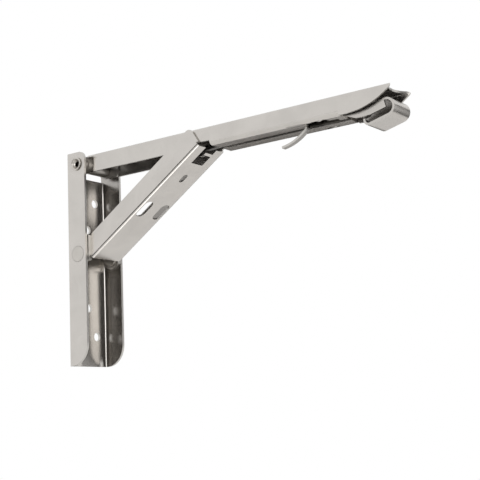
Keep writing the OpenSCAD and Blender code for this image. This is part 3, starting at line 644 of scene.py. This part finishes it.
def paper_sweep(colour):
    """Matt white paper with a faint fibre about 3 mm long, lifted to white where rays see it."""
    paper = bpy.data.materials.new("Matt white paper sweep")
    paper.use_nodes = True
    tree = paper.node_tree
    shader = tree.nodes["Principled BSDF"]
    place = add(tree, "ShaderNodeTexCoord").outputs["Object"]
    fibre = add(tree, "ShaderNodeTexNoise", {"Scale": 1 / (3 * MM), "Detail": 3}, Vector=place)
    tone = add(tree, "ShaderNodeMapRange", {"To Min": 0.98, "To Max": 1.0}, Value=fibre)
    shade = add(tree, "ShaderNodeVectorMath", {"operation": "SCALE", "#0": colour}, Scale=tone)
    tree.links.new(shade.outputs[0], shader.inputs["Base Color"])
    shader.inputs["Roughness"].default_value = 0.9
    shader.inputs["Emission Color"].default_value = (1, 1, 1, 1)
    lift = add(tree, "ShaderNodeMath", {"operation": "MULTIPLY", "#1": FLOOR_LIFT}, i0=seen_rays(tree))
    tree.links.new(lift.outputs[0], shader.inputs["Emission Strength"])
    return paper


def flat_card(name, centre, across, along, width, height):
    """A flat stage card: points centre + u w/2 across + v h/2 along for u and v of -1 and 1."""
    centre, across, along = (np.asarray(v, float) for v in (centre, across, along))
    u = np.array([-1, 1, 1, -1])[:, None] * width / 2
    v = np.array([-1, -1, 1, 1])[:, None] * height / 2
    mesh = bpy.data.meshes.new(name)
    mesh.from_pydata((centre + u * across + v * along).tolist(), [], [(0, 1, 2, 3)])
    card = bpy.data.objects.new(name, mesh)
    bpy.context.scene.collection.objects.link(card)
    return card


def facing_frame(azimuth, height, away):
    """Across, along and back vectors and the place of what faces the bracket's middle M from a direction.

    The place is M + away * b, where b points to azimuth degrees round Z and height degrees above the level,
    across is level and square to b, and along is b x across.
    """
    azimuth, height = np.radians(azimuth), np.radians(height)
    back = np.array([np.cos(azimuth) * np.cos(height), np.sin(azimuth) * np.cos(height), np.sin(height)])
    across = np.array([-np.sin(azimuth), np.cos(azimuth), 0])
    return across, np.cross(back, across), back, MIDDLE + away * back


def stand_at(item, across, along, back, place):
    """Puts a lamp or camera at a place, with its X, Y and Z axes along three unit vectors."""
    bpy.context.scene.collection.objects.link(item)
    matrix = np.eye(4)
    matrix[:3] = np.column_stack([across, along, back, place])
    item.matrix_world = Matrix(matrix.tolist())


def felt_card(name, azimuth, height, away, width, tall, colour):
    """A felt card that faces the bracket's middle and that only reflections show."""
    across, along, _, place = facing_frame(azimuth, height, away)
    card = flat_card(name, place, across, along, width, tall)
    card.data.materials.append(matt_felt("Felt, " + name, linear(colour)))
    card.visible_camera = False


def soft_lamp(name, azimuth, height, away, side, radiance, level):
    """A square lamp that faces the bracket's middle. Its power is radiance times pi times its area."""
    data = bpy.data.lights.new(name, "AREA")
    data.shape = "SQUARE"
    data.size = side
    data.energy = radiance * np.pi * side ** 2 * level
    lamp = bpy.data.objects.new(name, data)
    stand_at(lamp, *facing_frame(azimuth, height, away))
    lamp.visible_camera = False


def photo_camera(lens):
    """The camera at the photo's viewing angle.

    It looks along (-sin yaw cos pitch, cos yaw cos pitch, sin pitch), and roll turns its right and up
    vectors about that line.
    """
    yaw, pitch, roll = CAMERA_TURN
    ahead = np.array([-np.sin(yaw) * np.cos(pitch), np.cos(yaw) * np.cos(pitch), np.sin(pitch)])
    level = np.array([np.cos(yaw), np.sin(yaw), 0])
    raised = np.cross(level, ahead)
    right = level * np.cos(roll) + raised * np.sin(roll)
    up = -level * np.sin(roll) + raised * np.cos(roll)
    data = bpy.data.cameras.new("Photo camera")
    data.lens = lens
    data.sensor_width = 36
    data.sensor_fit = "HORIZONTAL"
    data.clip_start = 0.02
    data.clip_end = 20
    camera = bpy.data.objects.new("Photo camera", data)
    stand_at(camera, right, up, -ahead, CAMERA_EYE)
    return camera


class BRACKET_OT_sheets(Operator):
    """Dresses the five sheet pieces: wall leaf, support arm, strut, slide and release lever."""

    bl_idname = "bracket.sheets"
    bl_label = "Dress the sheet pieces"

    def execute(self, context):
        sheet = context.scene.bracket_sheet
        colour, rough = tuple(sheet.colour), sheet.roughness
        level, upright, sloping = (0, 0, 0), (0, np.pi / 2, 0), (0, STRUT_SLOPE, 0)
        edge = sheared_edge("Sheared stainless edge", tuple(sheet.edge_colour))
        leaf = rolled_stainless("Rolled stainless, wall leaf", colour, rough, upright,
                                (ARM_PIVOT, STRUT_PIVOT), inner_y=LEAF_INNER_Y)
        arm = rolled_stainless("Rolled stainless, arm", colour, rough, level, (ARM_PIVOT,))
        strut = rolled_stainless("Rolled stainless, strut", colour, rough, sloping, (STRUT_PIVOT,))
        # Hands have dulled the lever a little
        worn = tuple(0.92 * v for v in colour)
        lever = rolled_stainless("Rolled stainless, handled", worn, rough + 0.03, hand_marks=1.0)
        # The slide is painted dark, as the shade seen through the strut's window
        black = tuple(0.2 * v for v in colour)
        slide = rolled_stainless("Blanked steel, painted dark for shade", black, rough + 0.18, hand_marks=0.6)
        # The inner sides of the folds are painted darker, as shade inside the channels, and are rougher
        # than the outer side
        dull = tuple(sheet.inner_tone * v for v in colour)
        arm_inside = rolled_stainless("Stainless, arm inside, painted shade", dull, rough + 0.14, level,
                                      hand_marks=0.3)
        strut_inside = rolled_stainless("Stainless, strut inside, painted shade", dull, rough + 0.14, sloping,
                                        hand_marks=0.3)
        dressed_sheet("wall_leaf", "wall", leaf, edge, sheet)
        dressed_sheet("support_arm", "arm", arm, edge, sheet, arm_inside)
        dressed_sheet("strut", "strut", strut, edge, sheet, strut_inside)
        dressed_sheet("strut_slide", "slide", slide, edge, sheet)
        dressed_sheet("release_lever", "lever", lever, edge, sheet, arm_inside)
        return {"FINISHED"}


class BRACKET_OT_hinge(Operator):
    """Makes the tubular hinge pin with its rolled heads, its sleeve and its two spacer bushes."""

    bl_idname = "bracket.hinge"
    bl_label = "Make the hinge pin set"

    def execute(self, context):
        colour = tuple(context.scene.bracket_fasteners.colour)
        formed = turned_steel("Rolled tubular rivet, stainless", colour, 0.3, ARM_PIVOT, pitch=0.3 * MM)
        # The bushes and the sleeve, with the lathe's finer rings, are painted a shade darker than the
        # rolled head: painted shade inside the joint
        shaded = tuple(0.8 * v for v in colour)
        turned = turned_steel("Turned stainless bush", shaded, 0.36, ARM_PIVOT, pitch=0.18 * MM)
        low, high = box_of("hinge_pin")
        outline = pin_outline((high[0] - low[0]) / 2, high[1])
        pin = revolved("hinge_pin_rolled", outline, ARM_PIVOT, formed)
        stand_for(pin, "wall", "hinge_pin")
        for node in ("hinge_bush_left", "hinge_bush_right", "hinge_sleeve"):
            outline = ring_outline(node, PIN_HOLE_R, 0.3 * MM)
            ring = revolved(node + "_turned", outline, ARM_PIVOT, turned)
            stand_for(ring, "wall", node)
        return {"FINISHED"}


class BRACKET_OT_strut_rivets(Operator):
    """Makes the two flush strut rivets and their washers."""

    bl_idname = "bracket.strut_rivets"
    bl_label = "Make the strut rivets"

    def execute(self, context):
        fasteners = context.scene.bracket_fasteners
        colour = tuple(fasteners.colour)
        headed = turned_steel("Cold-headed rivet, stainless", colour, 0.3, STRUT_PIVOT, pitch=0.5 * MM)
        # The washers are painted a shade darker, as shade between the strut and the wall leaf
        shaded = tuple(0.85 * v for v in colour)
        stamped = turned_steel("Stamped washer, stainless", shaded, 0.4, STRUT_PIVOT, pitch=0.8 * MM)
        for side, word in ((1, "left"), (-1, "right")):
            node = "strut_rivet_" + word
            low, high = box_of(node)
            inner, outer = sorted((abs(low[1]), abs(high[1])))
            outline = rivet_outline(inner, outer, (high[0] - low[0]) / 2 - fasteners.head_gap)
            rivet = revolved(node + "_headed", outline * (1, side), STRUT_PIVOT, headed)
            stand_for(rivet, "wall", node)
            node = "strut_washer_" + word
            outline = ring_outline(node, RIVET_HOLE_R, 0.12 * MM)
            washer = revolved(node + "_stamped", outline, STRUT_PIVOT, stamped)
            stand_for(washer, "wall", node)
        return {"FINISHED"}


class BRACKET_OT_spring(Operator):
    """Finishes the return spring and the small rivet that holds it."""

    bl_idname = "bracket.spring"
    bl_label = "Finish the return spring"

    def execute(self, context):
        sheet = context.scene.bracket_sheet
        strip = rolled_stainless("Hard-rolled spring strip", linear("b9b8b6"), 0.2, hand_marks=0.3)
        edge = sheared_edge("Slit spring edge", linear("c8c6c2"))
        spring = dressed_sheet("return_spring", "lever", strip, edge, sheet)
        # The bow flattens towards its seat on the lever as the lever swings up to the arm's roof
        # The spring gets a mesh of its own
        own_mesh(spring)
        low, high = box_of("spring_rivet")
        middle = (low + high) / 2
        colour = tuple(context.scene.bracket_fasteners.colour)
        head = turned_steel("Small formed rivet, stainless", colour, 0.3, middle, pitch=0.4 * MM)
        dressed_sheet("spring_rivet", "lever", head, head, sheet)
        return {"FINISHED"}


class BRACKET_OT_stage(Operator):
    """Sets the pale floor, the white surroundings, the felt cards, the soft lamps and the camera."""

    bl_idname = "bracket.stage"
    bl_label = "Set the studio"

    def execute(self, context):
        scene = context.scene
        stage = scene.bracket_stage
        scene.view_settings.view_transform = "Standard"
        white_surroundings(scene)
        floor = flat_card("floor", (0, 0, -stage.floor_drop), (1, 0, 0), (0, 1, 0), FLOOR_SIDE, FLOOR_SIDE)
        floor.data.materials.append(paper_sweep(tuple(stage.floor_colour)))
        scene.camera = photo_camera(stage.lens)
        # Bends, lips and inner corners of the polished sheet send the cards' dark back to the lens
        for card in CARDS:
            felt_card(*card)
        for lamp in LAMPS:
            soft_lamp(*lamp, stage.lamp_level)
        return {"FINISHED"}


class BRACKET_PT_panel(Panel):
    """Lists the bracket's settings and its steps."""

    bl_label = "Folding Shelf Bracket"
    bl_idname = "BRACKET_PT_panel"
    bl_space_type = "VIEW_3D"
    bl_region_type = "UI"
    bl_category = "Bracket"

    def draw(self, context):
        for name in GROUPS:
            group = getattr(context.scene, name)
            box = self.layout.box()
            for setting in group.__annotations__:
                box.prop(group, setting)
        for step in STEPS:
            self.layout.operator(step.bl_idname)


GROUPS = {
    "bracket_sheet": BRACKET_PG_sheet,
    "bracket_fasteners": BRACKET_PG_fasteners,
    "bracket_stage": BRACKET_PG_stage,
}
STEPS = (BRACKET_OT_sheets, BRACKET_OT_hinge, BRACKET_OT_strut_rivets, BRACKET_OT_spring, BRACKET_OT_stage)


def register():
    """Registers the settings, the steps and the panel."""
    for name, group in GROUPS.items():
        bpy.utils.register_class(group)
        setattr(bpy.types.Scene, name, PointerProperty(type=group))
    for step in (*STEPS, BRACKET_PT_panel):
        bpy.utils.register_class(step)


def unregister():
    """Takes the panel, the steps and the settings out again."""
    for step in reversed((*STEPS, BRACKET_PT_panel)):
        bpy.utils.unregister_class(step)
    for name, group in GROUPS.items():
        delattr(bpy.types.Scene, name)
        bpy.utils.unregister_class(group)


def main():
    """Runs the steps in order."""
    register()
    bpy.ops.bracket.sheets()
    bpy.ops.bracket.hinge()
    bpy.ops.bracket.strut_rivets()
    bpy.ops.bracket.spring()
    bpy.ops.bracket.stage()


if __name__ == "__main__":
    main()
